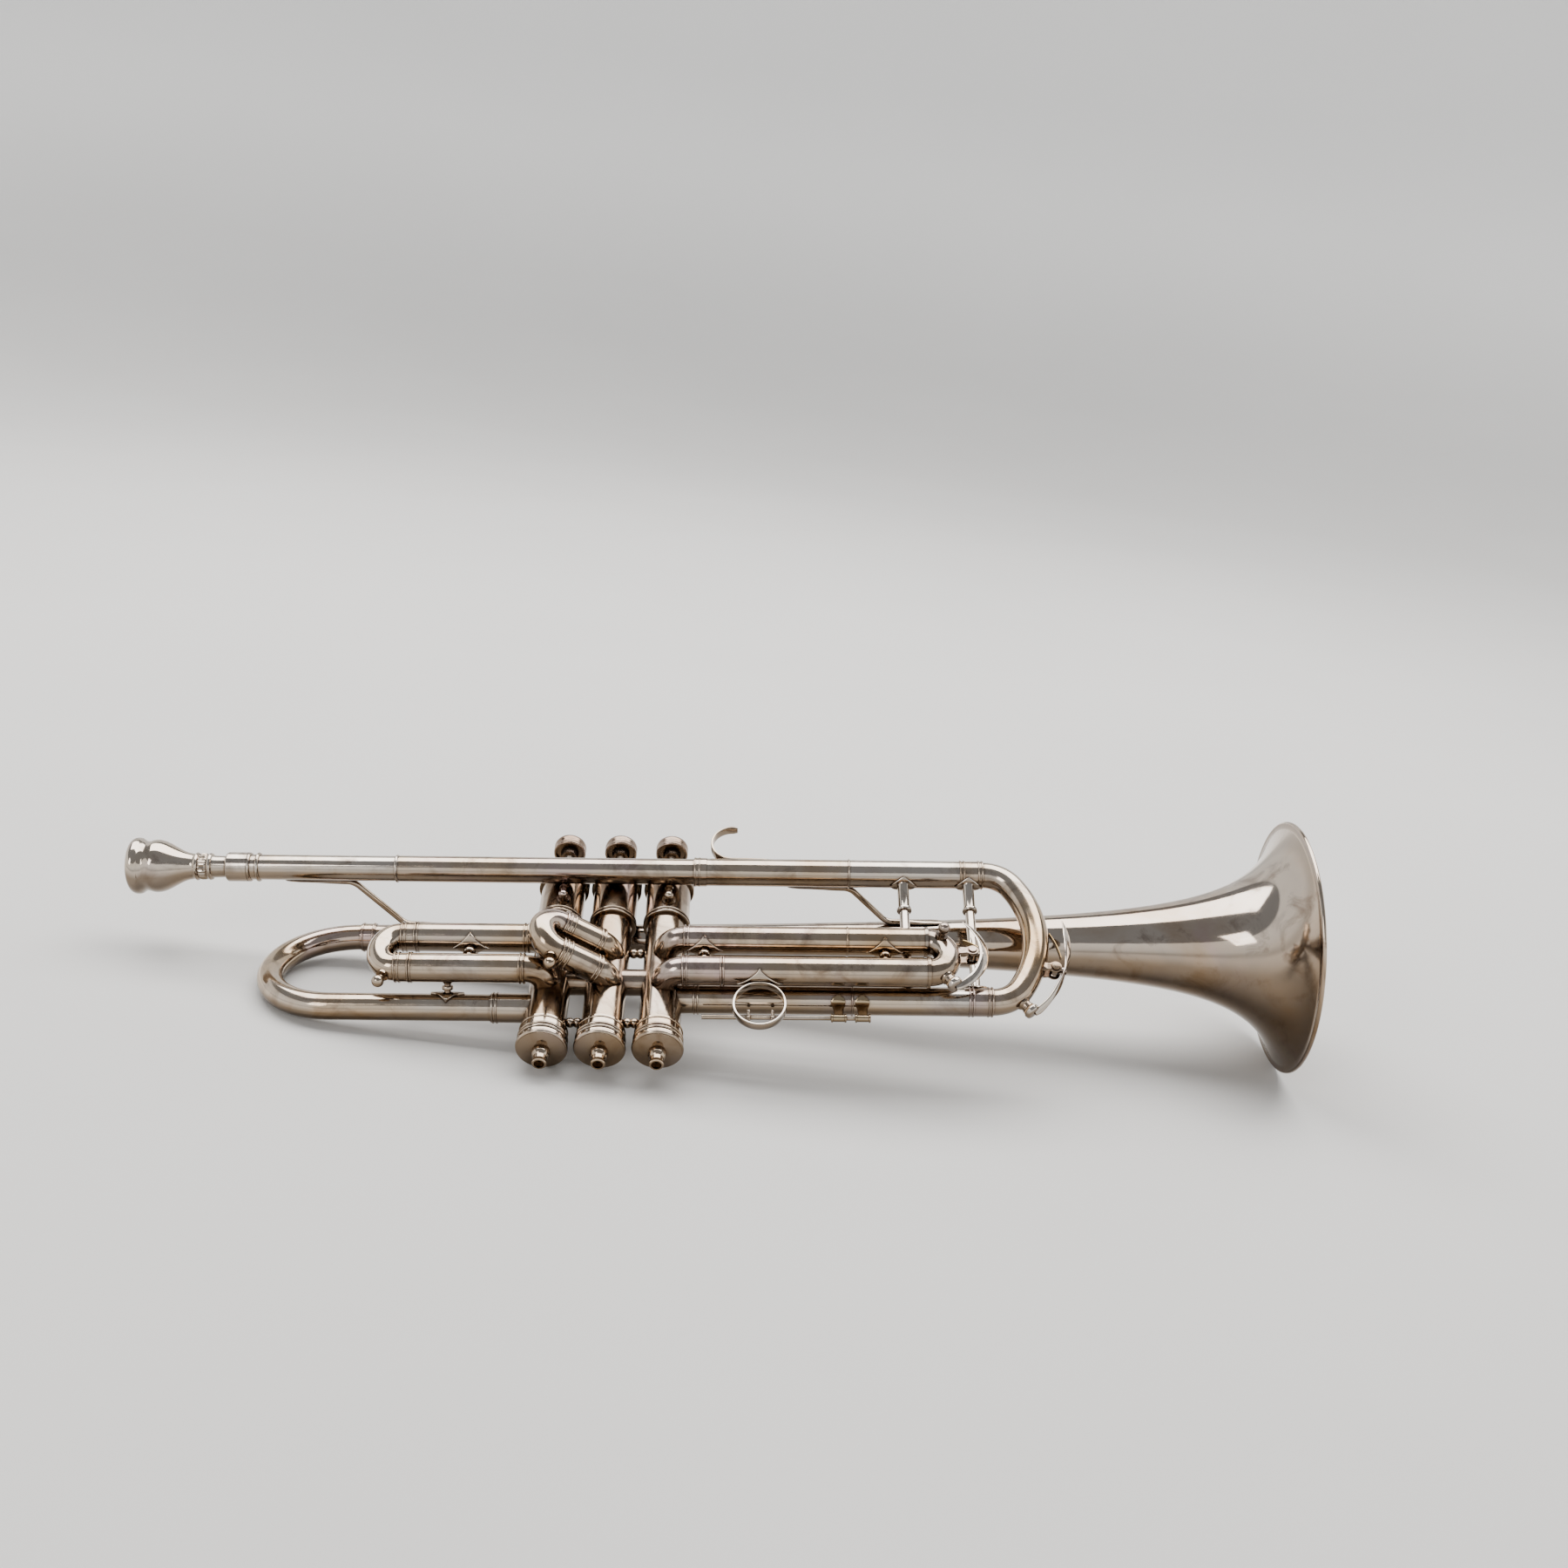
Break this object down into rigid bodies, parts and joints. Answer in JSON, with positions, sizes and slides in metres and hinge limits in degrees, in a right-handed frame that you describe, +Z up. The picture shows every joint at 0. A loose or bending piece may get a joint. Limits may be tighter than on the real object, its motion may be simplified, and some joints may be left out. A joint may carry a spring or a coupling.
{
  "type": "cornet",
  "caption": "Cornet of tarnished silver plate with piston valves, tuning and valve slides, water keys, finger ring, hook and a mouthpiece that pulls out.",
  "frame": {"origin": "on the floor under the middle of the bounding box, with the cornet lying on its left side on the bell rim, the bell bow and the bottom caps' side", "axes": "+X along the instrument from the mouthpiece to the bell, in the floor plane; +Z up from the floor; +Y away from the bottom caps, towards the side of the finger buttons"},
  "size_m": [0.5664, 0.1674, 0.1227],
  "materials": {
    "silver_plate": "bright silver plate over brass with brown and golden tarnish",
    "piston_metal": "lapped bare metal",
    "button_metal": "tarnished silver plate, dark underneath",
    "spring_bronze": "bare bronze wire",
    "felt": "dense felt",
    "cork": "cork"
  },
  "bodies": {
    "instrument": {"bell": "silver_plate", "bell_stem": "silver_plate", "bell_tail": "silver_plate", "bell_rim_wire": "silver_plate", "bell_bow": "silver_plate", "bell_bow_ferrules": "silver_plate", "lead_pipe": "silver_plate", "mouthpiece_receiver": "silver_plate", "main_upper_outer_tube": "silver_plate", "main_lower_outer_tube": "silver_plate", "valve_casing_1": "silver_plate", "valve_casing_2": "silver_plate", "valve_casing_3": "silver_plate", "casing_knuckles": "silver_plate", "casing_stays": "silver_plate", "top_caps": "silver_plate", "bottom_caps": "silver_plate", "valve_guides": "piston_metal", "first_branch_tubes": "silver_plate", "second_branch_tubes": "silver_plate", "third_branch_tubes": "silver_plate", "branch_stays": "silver_plate", "pipe_posts": "silver_plate", "rear_brace": "silver_plate", "front_brace": "silver_plate", "finger_hook": "silver_plate", "stop_rod_guide": "silver_plate", "valve_spring_1": "spring_bronze", "valve_spring_2": "spring_bronze", "valve_spring_3": "spring_bronze"},
    "piston_1": {"piston_1": "piston_metal", "finger_button_1": "button_metal", "valve_felt_1": "felt"},
    "piston_2": {"piston_2": "piston_metal", "finger_button_2": "button_metal", "valve_felt_2": "felt"},
    "piston_3": {"piston_3": "piston_metal", "finger_button_3": "button_metal", "valve_felt_3": "felt"},
    "main_slide": {"main_slide_legs": "silver_plate", "main_slide_bow": "silver_plate", "main_slide_posts": "silver_plate", "main_key_saddle": "silver_plate", "stop_rod": "silver_plate", "stop_rod_clamp": "silver_plate", "stop_rod_nuts": "silver_plate"},
    "main_key": {"main_key_lever": "silver_plate", "main_key_cork": "cork", "main_key_spring": "spring_bronze"},
    "first_slide": {"first_slide": "silver_plate"},
    "second_slide": {"second_slide": "silver_plate"},
    "third_slide": {"third_slide_legs": "silver_plate", "third_slide_bow": "silver_plate", "third_slide_stay": "silver_plate", "third_slide_ring": "silver_plate", "third_key_saddle": "silver_plate"},
    "third_key": {"third_key_lever": "silver_plate", "third_key_cork": "cork", "third_key_spring": "spring_bronze"},
    "mouthpiece": {"mouthpiece": "silver_plate"}
  },
  "joints": [
    {"name": "valve_1", "type": "slide", "parent": "instrument", "child": "piston_1", "axis": [0.0345, -0.9495, -0.3118], "range_m": [0, 0.0165], "stiffness_N_per_m": 120, "springref_m": -0.017, "deforming": ["valve_spring_1"]},
    {"name": "valve_2", "type": "slide", "parent": "instrument", "child": "piston_2", "axis": [0.0345, -0.9495, -0.3118], "range_m": [0, 0.0165], "stiffness_N_per_m": 120, "springref_m": -0.017, "deforming": ["valve_spring_2"]},
    {"name": "valve_3", "type": "slide", "parent": "instrument", "child": "piston_3", "axis": [0.0345, -0.9495, -0.3118], "range_m": [0, 0.0165], "stiffness_N_per_m": 120, "springref_m": -0.017, "deforming": ["valve_spring_3"]},
    {"name": "main_tuning_slide", "type": "slide", "parent": "instrument", "child": "main_slide", "axis": [0.9939, 0, 0.1099], "range_m": [0, 0.025]},
    {"name": "main_water_key", "type": "hinge", "parent": "main_slide", "child": "main_key", "pos_m": [0.15379, -0.02803, 0.05649], "axis": [-0.0927, -0.5366, 0.8387], "range_deg": [0, 7], "stiffness_Nm_per_rad": 0.03, "springref_deg": -20.05, "deforming": ["main_key_spring"]},
    {"name": "first_valve_slide", "type": "slide", "parent": "instrument", "child": "first_slide", "axis": [-0.9939, 0, -0.1099], "range_m": [0, 0.02]},
    {"name": "second_valve_slide", "type": "slide", "parent": "instrument", "child": "second_slide", "axis": [-0.8904, -0.1708, 0.4218], "range_m": [0, 0.01]},
    {"name": "third_valve_slide", "type": "slide", "parent": "instrument", "child": "third_slide", "axis": [0.9939, 0, 0.1099], "range_m": [0, 0.02]},
    {"name": "third_water_key", "type": "hinge", "parent": "third_slide", "child": "third_key", "pos_m": [0.11345, -0.03409, 0.06196], "axis": [-0.1044, -0.3137, 0.9438], "range_deg": [0, 7], "stiffness_Nm_per_rad": 0.03, "springref_deg": -20.05, "deforming": ["third_key_spring"]},
    {"name": "mouthpiece_pull", "type": "slide", "parent": "instrument", "child": "mouthpiece", "axis": [-0.9939, 0, -0.1099], "range_m": [0, 0.045]}
  ]
}
